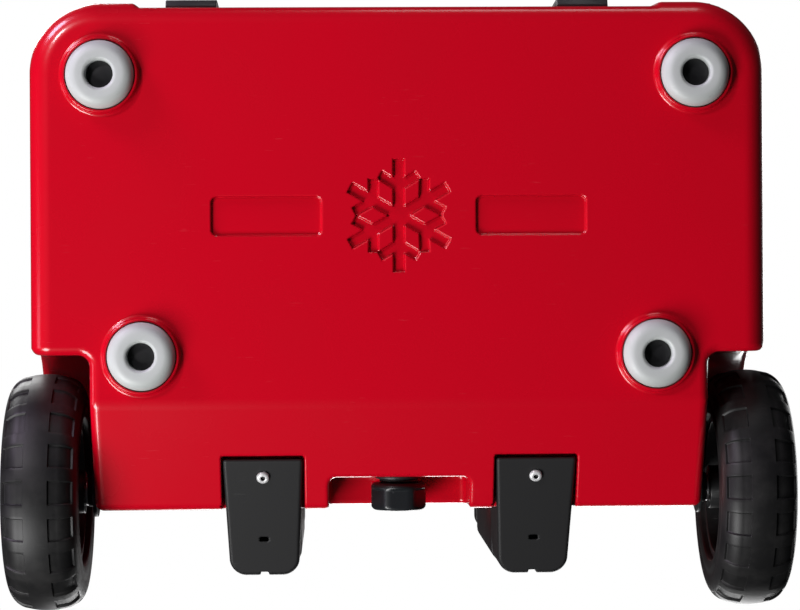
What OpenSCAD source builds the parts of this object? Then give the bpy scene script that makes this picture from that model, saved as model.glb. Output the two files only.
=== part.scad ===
// Wheeled cooler chest: a foam-filled, rotationally moulded box on four feet and two wheels,
// with a hinged lid, two pull latches, a drain plug and a telescoping pull handle.
// +Z is up, the front with the latches faces -Y, and the origin is on the ground under the middle.

/* [Chest] */
// Half of the outside width at the base
base_half_w = 281; // [270:1:285]
// Half of the outside width at the rim
rim_half_w = 300; // [296:1:302]
// Front face at the base, as a Y position
base_front = -212; // [-214:1:-204]
// Front face at the rim, as a Y position
rim_front = -237; // [-240:1:-230]
// Flat back face, as a Y position
back_face = 178; // [176:1:180]
// Height of the base above the ground
base_z = 14; // [12:1:16]
// Height of the rim above the ground
rim_z = 432; // [425:1:440]
// Radius of the upright corners
corner_r = 54; // [45:1:60]
// Radius of the edge between the base and the sides
base_edge_r = 16; // [12:1:18]
// Thickness of the moulded plastic skin
skin = 3.5; // [3:0.5:4]

/* [Lid] */
// Height of the top of the lid above the ground
lid_top_z = 512; // [500:1:520]
// Gap between the rim and the lid
lid_gap = 2; // [1.5:0.5:3]

/* [Wheels] */
// Radius of a tyre
tyre_r = 93; // [90:0.5:94]
// Width of a tyre
tyre_w = 58.5; // [54:0.5:59]
// Y position of the axles
axle_y = 165.3; // [164:0.1:166]
// Number of tread pockets around each edge of a tyre
tread_count = 20; // [12:1:24]

/* [Handle] */
// Half of the distance between the two telescoping rails
rail_x = 105.5; // [100:0.5:110]
// Y position of the middle of the tubes
rail_y = 204.5; // [203:0.5:205]

/* [Feet] */
// Outside radius of a rubber foot
foot_r = 26; // [24:0.5:27]

/* [Hidden] */
$fn = 64;
hull_fn = 32;
axle_z = tyre_r + 1;
axle_r = 6;
well_x = 236.4;
well_r = 109;
chamfer_y = 94.5;
chamfer_angle = 26.2;
front_lean = atan((base_front - rim_front) / (rim_z - base_z));
lid_z = rim_z + lid_gap;
lid_half_w = 302.5;
lid_edge_r = 16;
wheel_mid_x = well_x + 10 + tyre_w / 2;
rear_corner_r = 36;

// The inside of the chest
floor_z = 62;
cavity_floor_half_w = 215;
cavity_rim_half_w = 236;
cavity_floor_front = -160;
cavity_rim_front = -184;
cavity_floor_back = 118;
cavity_rim_back = 130;
cavity_r = 30;
cavity_edge_r = 14;

// Flat faces where the blocks of foam meet: side, front and back
foam_split = [211, -156, 114];

// Pockets in the outside of the chest
notch_w = 64;
notch_front = 135;
notch_depth = 14;
drain_pocket_half_w = 53;
drain_pocket_front = 152.5;
drain_pocket_top = 104;
hand_pocket = [72, 156, 350, 420];  // half width, front Y, bottom Z, top Z
side_grip = [70, 24, 338, 404];    // half length, depth, bottom Z, top Z
side_grip_y = -30;
front_panel = [200, 3.5, 330];     // half width, depth, highest point along the face

// Feet, as [x, y] positions
feet = [[-226.5, -156.8], [226.5, -156.8], [-196.3, 57.3], [196.3, 57.3]];
foot_boss_r = 30;
foot_boss_h = 6;
foot_hole_r = 10.5;
foot_seat_z = 11;

// Telescoping tubes: each is [width, depth, corner radius, wall, bottom Z, top Z]
outer_tube_size = [40, 30, 7, 1.6, 84, 360];
mid_tube_size = [35.8, 25.8, 5, 1.5, 90, 370];
inner_tube_size = [31.8, 21.8, 3.5, 1.4, 96, 390];
cover_top_z = 354.2;
bracket_front = 137.5;
bracket_back = 231.5;
boot_top_z = 150;
grip_y = 189.2;
grip_z = 398;
grip_r = 10.4;
grip_core_r = 9;
elbow_w = 57;
elbow_d = 37;
button_half_l = 14;
button_half_w = 5;
button_travel = 3;
yoke_h = 3.2;
spring_r = 2.8;

// Drain
drain_z = 77;
drain_bore_r = 12.6;
drain_tube_r = 9.5;
knob_r = 21.5;

// Hinges and latches
hinge_x = 190;
hinge_y = 188;
hinge_z = rim_z + 2;
knuckle_r = 7;
hinge_pin_r = 3.5;
latch_x = 177;
latch_y = -248;
latch_z = 462;
latch_half_w = 23;
latch_pin_r = 2.5;
latch_plate_y = rim_front + 1.7;
keeper_z = 381; // measured up along the leaning front face

// Screws in the back face as [x, z], in the lid's back face, and in the latch plates
back_screws = [for (s = [-1, 1], e = [-1, 1]) each
    [[s * hinge_x + e * 14, 398], [s * rail_x + e * 28, 361]]];
lid_back_screws = [for (s = [-1, 1], e = [-1, 1]) [s * hinge_x + e * 14, hinge_z + 34]];
latch_screws = [for (s = [-1, 1], e = [-1, 1]) [s * latch_x + e * 19, 477]];
keeper_screws = [for (s = [-1, 1], e = [-1, 1]) [s * latch_x + e * 13, keeper_z + 18]];
screw_r = 2;
screw_l = 12;

// Points of an arc about c, from angle a0 to a1
function arc(c, r, a0, a1, n = 6) =
    [for (i = [0 : n]) c + r * [cos(a0 + (a1 - a0) * i / n), sin(a0 + (a1 - a0) * i / n)]];

// Points of a rectangle with round corners, centred on the origin
function round_rect(w, d, r) = concat(
    arc([w / 2 - r, d / 2 - r], r, 0, 90), arc([r - w / 2, d / 2 - r], r, 90, 180),
    arc([r - w / 2, r - d / 2], r, 180, 270), arc([w / 2 - r, r - d / 2], r, 270, 360));

// An upright bar with round corners
module bar(w, d, r, z0, z1) {
    translate([0, 0, z0]) linear_extrude(z1 - z0) polygon(round_rect(w, d, r));
}

// A cylinder along X from x0 to x1
module rod_x(r, x0, x1) {
    translate([x0, 0, 0]) rotate([0, 90, 0]) cylinder(r = r, h = x1 - x0);
}

// A cylinder along Y from y0 to y1
module rod_y(r, y0, y1) {
    translate([0, y1, 0]) rotate([90, 0, 0]) cylinder(r = r, h = y1 - y0);
}

// A block between two corners
module block(low, high) {
    translate(low) cube(high - low);
}

// One rounded lower corner of a tub
module tub_corner(x, y, z, r, edge) {
    translate([x, y, z + edge]) rotate_extrude($fn = hull_fn) translate([r - edge, 0]) circle(edge);
}

// A drafted tub with round corners: low and high are [half width, front Y, back Y, Z]
module tub(low, high, r, back_r, edge) {
    hull() {
        for (s = [-1, 1]) {
            tub_corner(s * (low[0] - r), low[1] + r, low[3], r, edge);
            tub_corner(s * (low[0] - back_r), low[2] - back_r, low[3], back_r, min(edge, back_r / 2));
            translate([s * (high[0] - r), high[1] + r, high[3] - 1])
                cylinder(r = r, h = 1, $fn = hull_fn);
            translate([s * (high[0] - back_r), high[2] - back_r, high[3] - 1])
                cylinder(r = back_r, h = 1, $fn = hull_fn);
        }
    }
}

// The outside of the chest, grown by g on every side but the top
module chest_form(g = 0, top = rim_z) {
    tub([base_half_w + g, base_front - g, back_face + g, base_z - g],
        [rim_half_w + g, rim_front - g, back_face + g, top],
        corner_r + g, rear_corner_r + g, base_edge_r);
}

// The inside of the chest, grown by g
module cavity_form(g = 0, top = rim_z + 1) {
    tub([cavity_floor_half_w + g, cavity_floor_front - g, cavity_floor_back + g, floor_z - g],
        [cavity_rim_half_w + g, cavity_rim_front - g, cavity_rim_back + g, top],
        cavity_r + g, cavity_r + g, cavity_edge_r);
}

// Everything cut out of the outside of the chest, grown by g
module outside_cuts(g = 0) {
    // the sloping rear part of the base
    translate([0, chamfer_y, base_z]) rotate([chamfer_angle, 0, 0])
        block([-400, -120, -200], [400, 400, g]);
    // wheel wells
    for (s = [-1, 1]) mirror([s > 0 ? 0 : 1, 0, 0]) {
        translate([0, axle_y, axle_z]) rod_x(well_r + g, well_x - g, 400);
        block([well_x - g, axle_y - well_r - g, -20], [400, 400, axle_z]);
    }
    // notches for the lower handle brackets
    for (s = [-1, 1])
        translate([s * rail_x, chamfer_y, base_z]) rotate([chamfer_angle, 0, 0])
            block([-notch_w / 2 - g, (notch_front - chamfer_y) / cos(chamfer_angle) - g, -40],
                [notch_w / 2 + g, 300, notch_depth + g]);
    // drain pocket, open below and behind
    block([-drain_pocket_half_w - g, drain_pocket_front - g, -20],
        [drain_pocket_half_w + g, 400, drain_pocket_top + g]);
    // hand pocket behind the stowed handle
    block([-hand_pocket[0] - g, hand_pocket[1] - g, hand_pocket[2] - g],
        [hand_pocket[0] + g, 400, hand_pocket[3] + g]);
    // lifting grips in both sides
    for (s = [-1, 1])
        mirror([s > 0 ? 0 : 1, 0, 0])
            block([rim_half_w - side_grip[1] - g, side_grip_y - side_grip[0] - g, side_grip[2] - g],
                [400, side_grip_y + side_grip[0] + g, side_grip[3] + g]);
    // shallow panel in the front, open at the base
    translate([0, base_front, base_z]) rotate([front_lean, 0, 0])
        block([-front_panel[0] - g, -60, -60], [front_panel[0] + g, front_panel[1] + g, front_panel[2] + g]);
}

// Places of screws that point into the back of the chest or the lid
module back_places(list) {
    for (p = list) translate([p[0], back_face + 5.4, p[1]]) rotate([90, 0, 0]) children();
}

// Places of screws in the leaning front face of the chest
module front_places(list) {
    translate([0, base_front, base_z]) rotate([front_lean, 0, 0])
        for (p = list) translate([p[0], -3.5, p[1]]) rotate([-90, 0, 0]) children();
}

// Bores in the chest for its screws and axles, wider and longer by g
module chest_bores(g = 0) {
    for (p = feet) translate([p[0], p[1], 0]) cylinder(r = 3.1 + g, h = foot_seat_z + 27 + g);
    for (s = [-1, 1]) mirror([s > 0 ? 0 : 1, 0, 0]) {
        translate([0, axle_y, axle_z]) rod_x(axle_r + 0.1 + g, 181 - g, well_x + 4);
        translate([rail_x, 0, 0]) bracket_screw_places() cylinder(r = screw_r + 0.1 + g, h = 18 + g);
    }
    back_places(back_screws) cylinder(r = screw_r + 0.1 + g, h = screw_l + 0.5 + g);
    front_places(keeper_screws) cylinder(r = screw_r + 0.1 + g, h = screw_l + 0.5 + g);
}

// The drain bore through the back wall of the inside
module drain_bore(g = 0) {
    translate([0, 0, drain_z]) rod_y(drain_bore_r + g, 100, 160);
}

// Foam ports in the back face, behind the rail covers
module foam_ports(r, y0, y1) {
    for (s = [-1, 1]) translate([s * rail_x, 0, 250]) rod_y(r, y0, y1);
}

// The foam space between the two skins; g makes it smaller
module foam_space(g = 0) {
    difference() {
        chest_form(-skin - g, rim_z - skin - g);
        outside_cuts(skin + g);
        cavity_form(skin + g, rim_z + 10);
        chest_bores(2 + g);
        drain_bore(2 + g);
    }
}

module body_shell() {
    color([0.74, 0.02, 0.06]) difference() {
        union() {
            difference() {
                chest_form();
                outside_cuts();
            }
            for (p = feet) translate([p[0], p[1], base_z - foot_boss_h])
                cylinder(r1 = foot_boss_r - 2, r2 = foot_boss_r, h = foot_boss_h + 1);
        }
        cavity_form();
        foam_space();
        chest_bores();
        drain_bore();
        foam_ports(10, back_face - 10, back_face + 1);
        // seats for the rubber feet
        for (p = feet) translate([p[0], p[1], 0]) cylinder(r = foot_r + 0.6, h = base_z);
    }
}

// The part of the foam between two corners. The foam is poured as one mass and held here as a
// block for each wall and one for the floor, which meet at flat faces
module foam_block(low, high) {
    color([0.93, 0.88, 0.7]) intersection() {
        union() {
            foam_space(0.2);
            foam_ports(9.5, back_face - 12, back_face - 0.5);
        }
        block(low, high);
    }
}

// A lid-shaped slab that starts at z0, shrunk by g
module lid_form(z0, g = 0) {
    hull() for (s = [-1, 1], q = [[rim_front - 3, corner_r, 1], [back_face, rear_corner_r, -1]]) {
        translate([s * (lid_half_w - q[1]), q[0] + q[2] * q[1], z0])
            cylinder(r = q[1] - g, h = 30, $fn = hull_fn);
        translate([s * (lid_half_w - 3 - q[1]), q[0] + q[2] * (q[1] + 1), lid_top_z - g - lid_edge_r])
            rotate_extrude($fn = hull_fn) translate([q[1] - g - lid_edge_r, 0]) circle(lid_edge_r);
    }
}

// The step under the lid that closes the mouth of the chest
module lid_step(g = 0) {
    translate([0, (cavity_rim_front + cavity_rim_back) / 2, 0])
        bar(2 * (cavity_rim_half_w - 4 - g), cavity_rim_back - cavity_rim_front - 2 * (4 + g),
            cavity_r - 4, rim_z - 8 + g, lid_z + 12);
}

// The rectangle that the lid seal follows, grown by g
module seal_ring(g, z0, z1) {
    translate([0, (cavity_rim_front + cavity_rim_back) / 2, 0])
        bar(2 * (cavity_rim_half_w + g), cavity_rim_back - cavity_rim_front + 2 * g, cavity_r + g, z0, z1);
}

// Shallow seats for the latch plates in the front of the lid
module latch_seats(g = 0) {
    for (s = [-1, 1])
        block([s * latch_x - 30 - g, -300, lid_z - 1], [s * latch_x + 30 + g, rim_front + 2 + g, 486 + g]);
}

// Places of the screws that hold the latch plates
module latch_screw_places() {
    for (p = latch_screws) translate([p[0], latch_plate_y - 4.2, p[1]]) rotate([-90, 0, 0]) children();
}

// Bores in the lid for its screws, wider and longer by g
module lid_bores(g = 0) {
    latch_screw_places() cylinder(r = screw_r + 0.1 + g, h = screw_l + 0.5 + g);
    back_places(lid_back_screws) cylinder(r = screw_r + 0.1 + g, h = screw_l + 0.5 + g);
}

// Foam ports in the back of the lid, behind its hinge leaves
module lid_ports(r, y0, y1) {
    for (s = [-1, 1]) translate([s * hinge_x, 0, lid_z + 26]) rod_y(r, y0, y1);
}

module lid_foam_space(g = 0) {
    difference() {
        union() {
            lid_form(lid_z + skin + g, skin + g);
            lid_step(skin + g);
        }
        difference() {
            seal_ring(16 + g, lid_z - 1, lid_z + 5 + skin + g);
            seal_ring(-2 - g, lid_z - 2, lid_z + 6 + skin + g);
        }
        latch_seats(skin + g);
        lid_bores(2 + g);
    }
}

module lid_shell() {
    color([0.74, 0.02, 0.06]) difference() {
        union() {
            lid_form(lid_z);
            lid_step();
        }
        lid_foam_space();
        latch_seats();
        lid_bores();
        // groove for the seal
        difference() {
            seal_ring(12, lid_z - 1, lid_z + 4.5);
            seal_ring(2, lid_z - 2, lid_z + 5.5);
        }
        lid_ports(9, back_face - 10, back_face + 1);
    }
}

module lid_foam() {
    color([0.93, 0.88, 0.7]) union() {
        lid_foam_space(0.2);
        lid_ports(8.5, back_face - 12, back_face - 0.5);
    }
}

module lid_gasket() {
    color([0.12, 0.12, 0.13]) difference() {
        seal_ring(11.5, rim_z + 0.3, lid_z + 4.3);
        seal_ring(2.5, rim_z - 1, lid_z + 6);
    }
}

// A round rubber foot with a sunken middle, standing on the ground
module foot(p) {
    color([0.8, 0.82, 0.81]) translate([p[0], p[1], 0]) difference() {
        union() {
            translate([0, 0, 4]) cylinder(r = foot_r, h = base_z - 4.2);
            cylinder(r = foot_r - 4, h = 5);
            translate([0, 0, 4]) rotate_extrude() translate([foot_r - 4, 0]) circle(4);
        }
        translate([0, 0, -1]) cylinder(r = foot_hole_r, h = foot_seat_z + 1);
        cylinder(r = 3.1, h = base_z);
    }
}

module foot_screws() {
    color([0.05, 0.05, 0.055]) for (p = feet) translate([p[0], p[1], 0]) {
        translate([0, 0, foot_seat_z - 2.2]) cylinder(r = foot_hole_r - 0.4, h = 2);
        translate([0, 0, foot_seat_z - 1]) cylinder(r = 3, h = 27);
    }
}

// Outline of a lower bracket from below: it narrows to a rounded rear end with a small drip notch
function bracket_plan() = concat(
    [[-31, bracket_front], [31, bracket_front]],
    arc([14.5, bracket_back - 13], 13, 0, 90),
    [[4, bracket_back], [2.5, bracket_back - 3], [-2.5, bracket_back - 3], [-4, bracket_back]],
    arc([-14.5, bracket_back - 13], 13, 90, 180));

// Side outline of a lower bracket, as [y, z]: a tongue under the chest and a boot behind it
function bracket_side() =
    let (t = tan(chamfer_angle), z0 = base_z + 1 - chamfer_y * t, f = bracket_front, wall = back_face + 0.4,
        back = bracket_back + 0.5) [
        [f, z0 + f * t], [back, z0 + back * t], [back, boot_top_z],
        [wall, boot_top_z], [wall, z0 + wall * t + 12.5], [f, z0 + f * t + 12.5]];

// Screw positions in a lower bracket, square to its sloping face
module bracket_screw_places() {
    y = 151.8;
    translate([0, y, base_z + (y - chamfer_y) * tan(chamfer_angle)]) rotate([chamfer_angle, 0, 0]) children();
}

module lower_bracket(s) {
    color([0.13, 0.13, 0.14]) translate([s * rail_x, 0, 0]) difference() {
        intersection() {
            linear_extrude(160) polygon(bracket_plan());
            rotate([90, 0, 90]) translate([0, 0, -40]) linear_extrude(80) polygon(bracket_side());
        }
        // socket for the fixed tube
        tube_socket(outer_tube_size[4] - 0.2, 151);
        bracket_screw_places() translate([0, 0, -2]) cylinder(r = 2.6, h = 30);
        // drain slot in the underside
        translate([0, 201.8, 40]) block([-3, -1.6, 0], [3, 1.6, 60]);
    }
}

// A button-head screw with a hex socket, pointing along +Z from its seat at z = 0
module button_screw(l = screw_l) {
    difference() {
        union() {
            translate([0, 0, -2.4]) cylinder(r1 = 4.2, r2 = 5, h = 2.4);
            translate([0, 0, -1]) cylinder(r = screw_r, h = l + 1);
        }
        translate([0, 0, -3]) cylinder(r = 1.7, h = 2, $fn = 6);
    }
}

module chest_screws() {
    color([0.8, 0.8, 0.82]) {
        for (s = [-1, 1]) translate([s * rail_x, 0, 0])
            bracket_screw_places() translate([0, 0, 0.7]) button_screw(16);
        back_places(back_screws) button_screw();
        front_places(keeper_screws) button_screw();
    }
}

module lid_screws() {
    color([0.8, 0.8, 0.82]) {
        back_places(lid_back_screws) button_screw();
        latch_screw_places() button_screw();
    }
}

// The hole that holds the fixed tube of one rail
module tube_socket(z0, z1) {
    t = outer_tube_size;
    translate([0, rail_y, 0]) bar(t[0] + 0.4, t[1] + 0.4, t[2], z0, z1);
}

// Plan of a rail cover, a channel whose open side is against the back face
function cover_plan(w, y1, r) = concat(
    [[-w, back_face + 0.4], [w, back_face + 0.4]],
    arc([w - r, y1 - r], r, 0, 90), arc([r - w, y1 - r], r, 90, 180));

module rail_cover(s) {
    color([0.11, 0.11, 0.12]) translate([s * rail_x, 0, 0]) difference() {
        translate([0, 0, 150.2]) linear_extrude(cover_top_z - 150.2) polygon(cover_plan(28.5, 229, 11));
        translate([0, 0, 149]) linear_extrude(cover_top_z - 152) polygon(cover_plan(25.5, 226, 8));
        block([-25.5, back_face, 149], [25.5, back_face + 4, cover_top_z - 3]);
        tube_socket(340, 360);
    }
}

// Clamp around the top of one rail, screwed to the back of the chest
module upper_bracket(s) {
    t = outer_tube_size;
    m = mid_tube_size;
    z = cover_top_z + 0.4;
    color([0.11, 0.11, 0.12]) translate([s * rail_x, 0, 0]) difference() {
        union() {
            translate([0, 0, z]) linear_extrude(13) polygon(cover_plan(22.8, 222.5, 8));
            block([-33, back_face + 0.4, z], [33, back_face + 5.2, z + 13]);
        }
        tube_socket(350, t[5] + 0.2);
        translate([0, rail_y, 0]) bar(m[0] + 0.6, m[1] + 0.6, m[2], 350, 380);
        for (e = [-1, 1]) translate([e * 28, 0, 361]) rod_y(screw_r + 0.2, back_face - 1, back_face + 8);
    }
}

// A telescoping tube from its list of sizes
module tube(s, t) {
    translate([s * rail_x, rail_y, 0]) difference() {
        bar(t[0], t[1], t[2], t[4], t[5]);
        bar(t[0] - 2 * t[3], t[1] - 2 * t[3], t[2] - t[3], t[4] - 1, t[5] + 1);
    }
}

module outer_tube(s) {
    color([0.3, 0.3, 0.31]) tube(s, outer_tube_size);
}

module mid_tube(s) {
    color([0.35, 0.35, 0.36]) tube(s, mid_tube_size);
}

module inner_tube(s) {
    color([0.4, 0.4, 0.41]) tube(s, inner_tube_size);
}

// Guide rings on top of the middle tubes
module mid_collars() {
    z = mid_tube_size[5];
    t = inner_tube_size;
    color([0.08, 0.08, 0.09]) for (s = [-1, 1]) translate([s * rail_x, rail_y, 0]) difference() {
        bar(40, 30, 6, z + 0.2, z + 6);
        bar(t[0] + 0.6, t[1] + 0.6, t[2], z, z + 7);
    }
}

// Plugs in the lower ends of the inner tubes, where the lock rods end
module lock_plugs() {
    t = inner_tube_size;
    color([0.7, 0.68, 0.6]) for (s = [-1, 1]) translate([s * rail_x, rail_y, 0]) difference() {
        bar(t[0] - 2 * t[3] - 0.3, t[1] - 2 * t[3] - 0.3, 2, t[4] + 1, t[4] + 27);
        translate([0, 0, t[4] + 4]) cylinder(r = 2.9, h = 30);
    }
}

// A beam along the cross bar with an arm at each end, reaching back over the rails
module yoke_form(g, z0, z1) {
    block([-rail_x - 3 - g, grip_y - 3 - g, z0], [rail_x + 3 + g, grip_y + 3 + g, z1]);
    for (s = [-1, 1])
        block([s * rail_x - 3 - g, grip_y - 3 - g, z0], [s * rail_x + 3 + g, rail_y + 3 + g, z1]);
}

// The beam inside the cross bar that passes the push of the button to both rods
module release_yoke() {
    color([0.75, 0.75, 0.77]) yoke_form(0, grip_z - yoke_h, grip_z);
}

module release_rods() {
    z = inner_tube_size[4] + 4 + button_travel + 1;
    color([0.75, 0.75, 0.77]) for (s = [-1, 1])
        translate([s * rail_x, rail_y, z]) cylinder(r = 2.5, h = grip_z - yoke_h - z);
}

// The cross bar of the pull handle, with an elbow over each inner tube
module handle_bar() {
    t = inner_tube_size;
    floor_z = grip_z - yoke_h - button_travel - 0.4;
    color([0.1, 0.1, 0.11]) difference() {
        union() {
            translate([0, grip_y, grip_z]) rod_x(grip_core_r, -90, 90);
            for (s = [-1, 1]) translate([s * rail_x, 0, 0]) hull() {
                translate([0, rail_y, 0]) bar(elbow_w, elbow_d, 12, mid_tube_size[5] + 6.6, 400);
                translate([0, rail_y, 0]) bar(elbow_w - 8, elbow_d - 8, 10, 400, 406);
                translate([-s * 22, grip_y, grip_z]) rod_x(grip_r - 0.5, -3, 3, $fn = hull_fn);
            }
        }
        for (s = [-1, 1]) translate([s * rail_x, rail_y, 0]) {
            bar(t[0] + 0.1, t[1] + 0.1, t[2], 370, t[5] + 0.1);
            translate([0, 0, 380]) cylinder(r = 3, h = 15);
        }
        // channel for the yoke, pocket for the button and seat for its spring
        yoke_form(0.4, floor_z, grip_z + 0.4);
        translate([0, grip_y, grip_z])
            block([-button_half_l - 0.4, -button_half_w - 0.4, -button_travel - 0.4],
                [button_half_l + 0.4, button_half_w + 0.4, 20]);
        translate([0, grip_y, grip_z - 7.6]) cylinder(r = spring_r + 0.4, h = 6);
    }
}

// Rubber sleeves on the cross bar, either side of the button
module handle_sleeves() {
    color([0.06, 0.06, 0.065]) translate([0, grip_y, grip_z]) for (s = [-1, 1]) difference() {
        rod_x(grip_r, s > 0 ? 16 : -76, s > 0 ? 76 : -16);
        rod_x(grip_core_r, -90, 90);
    }
}

module release_button() {
    color([0.45, 0.46, 0.47]) translate([0, grip_y, grip_z])
        block([-button_half_l, -button_half_w, 0], [button_half_l, button_half_w, 15]);
}

module button_spring() {
    color([0.75, 0.75, 0.77]) translate([0, grip_y, grip_z - 7.5]) difference() {
        cylinder(r = spring_r, h = 7.5 - yoke_h);
        translate([0, 0, -1]) cylinder(r = spring_r - 0.8, h = 9);
    }
}

module axle(s) {
    color([0.78, 0.78, 0.8]) translate([0, axle_y, axle_z]) mirror([s > 0 ? 0 : 1, 0, 0]) {
        rod_x(axle_r, 182, wheel_mid_x + 20);
        rod_x(axle_r + 3, wheel_mid_x + 20, wheel_mid_x + 23);
    }
}

module axle_plates() {
    color([0.09, 0.09, 0.1]) translate([0, axle_y, axle_z]) for (s = [0, 1]) mirror([s, 0, 0]) difference() {
        union() {
            rod_x(20, well_x + 0.3, well_x + 3.5);
            rod_x(12, well_x + 0.3, well_x + 8);
        }
        rod_x(axle_r + 0.05, well_x - 2, well_x + 10);
    }
}

module axle_washers() {
    color([0.8, 0.8, 0.82]) translate([0, axle_y, axle_z]) for (s = [0, 1]) mirror([s, 0, 0])
        for (x = [well_x + 8.2, wheel_mid_x + 17.6]) difference() {
            rod_x(11, x, x + 1.6);
            rod_x(axle_r + 0.05, x - 1, x + 3);
        }
}

// Half profile of a tyre as [distance from the middle, radius]: a crowned tread with round shoulders
function tyre_profile() = let (w = tyre_w / 2) concat(
    [[-w + 2, 58]], [[-w, 62]], [[-w, 70]], arc([-w + 17, tyre_r - 18.5], 17, 180, 97, 6),
    [[-6, tyre_r], [6, tyre_r]], arc([w - 17, tyre_r - 18.5], 17, 83, 0, 6),
    [[w, 70]], [[w, 62]], [[w - 2, 58]]);

module tyre(s) {
    color([0.14, 0.14, 0.145]) translate([s * wheel_mid_x, axle_y, axle_z]) difference() {
        rotate([0, 90, 0]) rotate_extrude() polygon([for (p = tyre_profile()) [p[1], p[0]]]);
        // tread pockets along both shoulders
        for (i = [0 : tread_count - 1], e = [-1, 1]) rotate([i * 360 / tread_count, 0, 0])
            translate([e * 10, 0, tyre_r - 2.6]) rotate([0, e * 14, 0])
                block([e > 0 ? 0 : -22, -9.5, 0], [e > 0 ? 22 : 0, 9.5, 12]);
    }
}

// A wheel centre: outer ring, hub and six spokes
module rim(s) {
    color([0.1, 0.1, 0.105]) translate([s * wheel_mid_x, axle_y, axle_z]) mirror([s > 0 ? 0 : 1, 0, 0])
    difference() {
        union() {
            difference() {
                rod_x(57.8, -24, 24);
                rod_x(52, -25, 25);
            }
            rod_x(17, -28.7, 17);
            for (i = [0 : 5]) rotate([i * 60, 0, 0]) block([-12, -5, 14], [12, 5, 54]);
        }
        rod_x(axle_r + 0.05, -30, 30);
    }
}

module hub_cap(s) {
    color([0.42, 0.43, 0.44]) translate([s * wheel_mid_x, axle_y, axle_z]) mirror([s > 0 ? 0 : 1, 0, 0])
    difference() {
        union() {
            rod_x(21, 17.2, 23);
            rod_x(17, 22, 26.5);
        }
        rod_x(13, 16, 23.6);
    }
}

module drain_bushing() {
    color([0.08, 0.08, 0.09]) translate([0, 0, drain_z]) difference() {
        union() {
            rod_y(drain_bore_r - 0.1, 122, drain_pocket_front + 1);
            rod_y(18, drain_pocket_front + 0.2, drain_pocket_front + 3);
        }
        rod_y(drain_tube_r, 100, 170);
    }
}

module drain_washer() {
    color([0.25, 0.25, 0.26]) translate([0, 0, drain_z]) difference() {
        rod_y(15, drain_pocket_front + 3.3, drain_pocket_front + 5.3);
        rod_y(drain_tube_r, 100, 170);
    }
}

// Drain knob with its stem: finger flats around a short drum
module drain_plug() {
    color([0.1, 0.11, 0.12]) translate([0, 0, drain_z]) difference() {
        union() {
            rod_y(drain_tube_r - 0.06, 126, drain_pocket_front + 8);
            rod_y(knob_r, drain_pocket_front + 5.8, back_face + 2);
        }
        for (a = [0 : 60 : 300]) rotate([0, a, 0])
            block([-7, drain_pocket_front + 9, knob_r - 1.5], [7, back_face + 3, knob_r + 3]);
    }
}

// The half of a hinge that is fixed to the back of the chest
module hinge_body_leaf(s) {
    color([0.08, 0.08, 0.09]) translate([s * hinge_x, 0, 0]) difference() {
        union() {
            block([-24, back_face + 0.3, 382], [24, back_face + 5.2, hinge_z - 6.5]);
            for (x = [-24, 8]) {
                block([x, back_face + 0.3, hinge_z - 7], [x + 16, hinge_y, hinge_z]);
                translate([0, hinge_y, hinge_z]) rod_x(knuckle_r, x, x + 16);
            }
        }
        translate([0, hinge_y, hinge_z]) rod_x(hinge_pin_r + 0.05, -30, 30);
        for (x = [-14, 14]) translate([x, 0, 398]) rod_y(screw_r + 0.2, back_face - 2, back_face + 8);
    }
}

// The half of a hinge that is fixed to the back of the lid
module hinge_lid_leaf(s) {
    color([0.08, 0.08, 0.09]) translate([s * hinge_x, 0, 0]) difference() {
        union() {
            block([-24, back_face + 0.3, hinge_z + 10], [24, back_face + 5.2, hinge_z + 46]);
            block([-7.6, back_face + 0.3, hinge_z], [7.6, hinge_y, hinge_z + 6]);
            block([-7.6, back_face + 0.3, hinge_z], [7.6, back_face + 5.2, hinge_z + 12]);
            translate([0, hinge_y, hinge_z]) rod_x(knuckle_r, -7.6, 7.6);
        }
        translate([0, hinge_y, hinge_z]) rod_x(hinge_pin_r + 0.05, -30, 30);
        for (x = [-14, 14])
            translate([x, 0, hinge_z + 34]) rod_y(screw_r + 0.2, back_face - 2, back_face + 8);
    }
}

module hinge_pins() {
    color([0.8, 0.8, 0.82]) for (s = [-1, 1])
        translate([s * hinge_x, hinge_y, hinge_z]) rod_x(hinge_pin_r, -25, 25);
}

// Plate with two ears on the front of the lid
module latch_base(s) {
    y = latch_plate_y;
    color([0.08, 0.08, 0.09]) translate([s * latch_x, 0, 0]) difference() {
        union() {
            block([-28.5, y - 4, lid_z + 4], [28.5, y, 484]);
            for (x = [-28.5, latch_half_w + 0.5]) {
                block([x, latch_y, latch_z - 8], [x + 5, y - 3, latch_z + 8]);
                translate([0, latch_y, latch_z]) rod_x(8, x, x + 5);
            }
        }
        translate([0, latch_y, latch_z]) rod_x(latch_pin_r + 0.05, -30, 30);
        for (x = [-19, 19]) translate([x, 0, 477]) rod_y(screw_r + 0.2, y - 5, y + 1);
    }
}

// Side outline of a latch lever as [y, z], with the hook at its lower end
function lever_side() = [
    [-246, 468], [-253, 468], [-256, 460], [-257.2, 425], [-258.3, 392], [-257, 383], [-252, 380],
    [-243, 382], [-237.5, 387], [-238, 391.5], [-244, 393], [-247.5, 398], [-247.5, 440], [-243, 456]];

module latch_lever(s) {
    color([0.09, 0.09, 0.095]) translate([s * latch_x, 0, 0]) difference() {
        union() {
            rotate([90, 0, 90]) translate([0, 0, -latch_half_w])
                linear_extrude(2 * latch_half_w) polygon(lever_side());
            translate([0, latch_y, latch_z]) rod_x(7, -latch_half_w, latch_half_w);
        }
        translate([0, latch_y, latch_z]) rod_x(latch_pin_r + 0.05, -30, 30);
    }
}

module latch_pins() {
    color([0.8, 0.8, 0.82]) for (s = [-1, 1])
        translate([s * latch_x, latch_y, latch_z]) rod_x(latch_pin_r, -28, 28);
}

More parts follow.
